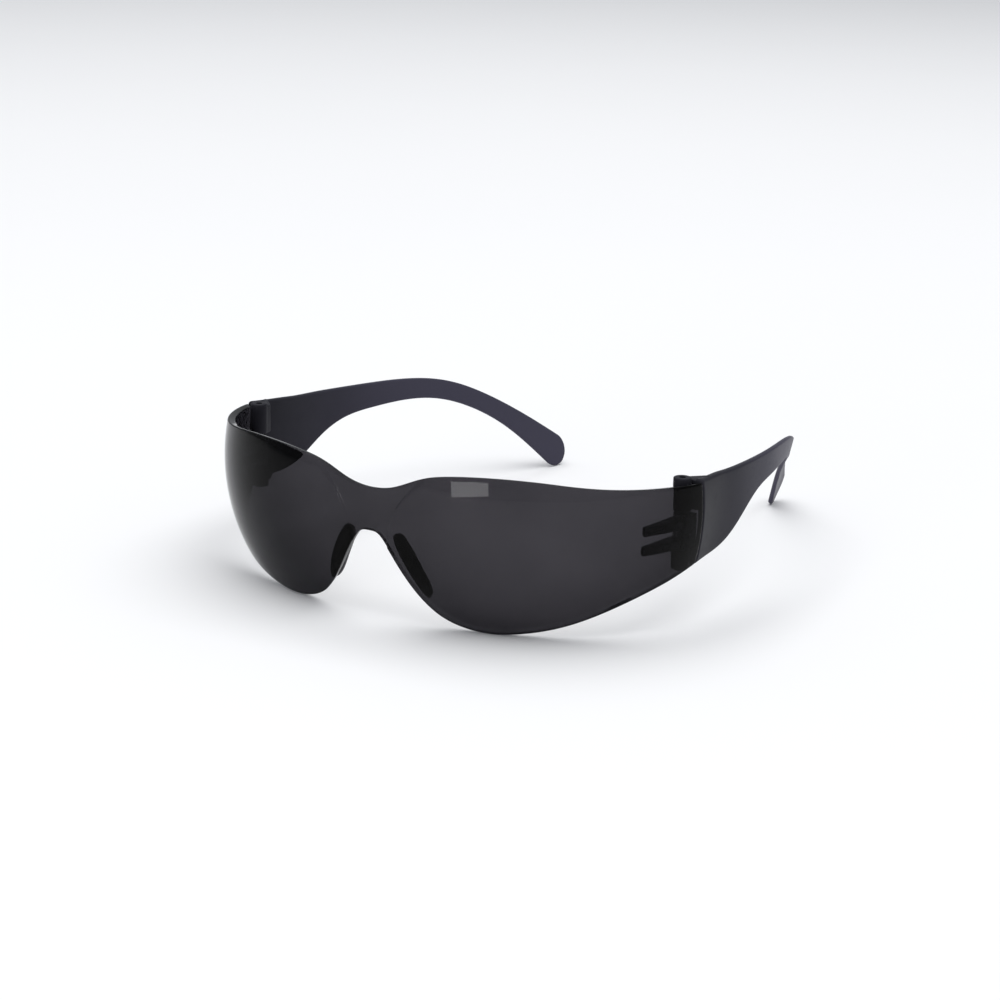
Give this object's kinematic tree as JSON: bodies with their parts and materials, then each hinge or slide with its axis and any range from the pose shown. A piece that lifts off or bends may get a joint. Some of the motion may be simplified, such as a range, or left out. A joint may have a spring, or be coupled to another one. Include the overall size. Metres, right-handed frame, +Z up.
{
  "type": "safety glasses",
  "caption": "Wraparound safety glasses with a one-piece smoke lens, nose pads, ribbed hinge brackets and swept temples that fold in on hinge pins.",
  "frame": {"origin": "middle of the bounding box's bottom face, on the surface the glasses stand on", "axes": "the lens faces -Y, the temples run back along +Y, +X is the wearer's left-hand side and +Z is up"},
  "size_m": [0.1424, 0.1688, 0.0424],
  "materials": {
    "smoke_lens": "clear smoke-tinted polycarbonate, polished",
    "hinge_plastic": "dark smoke plastic, moulded",
    "nose_pad": "soft dark pad, satin",
    "temple_plastic": "smoke plastic with a satin sheen",
    "hinge_pin": "steel pin"
  },
  "bodies": {
    "front": {"lens_shield": "smoke_lens", "right_hinge_bracket": "hinge_plastic", "left_hinge_bracket": "hinge_plastic", "right_nose_pad": "nose_pad", "left_nose_pad": "nose_pad"},
    "left_arm": {"left_temple": "temple_plastic", "left_hinge_pin": "hinge_pin"},
    "right_arm": {"right_temple": "temple_plastic", "right_hinge_pin": "hinge_pin"}
  },
  "joints": [
    {"name": "left_temple_fold", "type": "hinge", "parent": "front", "child": "left_arm", "pos_m": [0.0653, -0.04064, 0.026], "axis": [0, 0, 1], "range_deg": [0, 83]},
    {"name": "right_temple_fold", "type": "hinge", "parent": "front", "child": "right_arm", "pos_m": [-0.0653, -0.04064, 0.026], "axis": [0, 0, -1], "range_deg": [0, 75]}
  ]
}
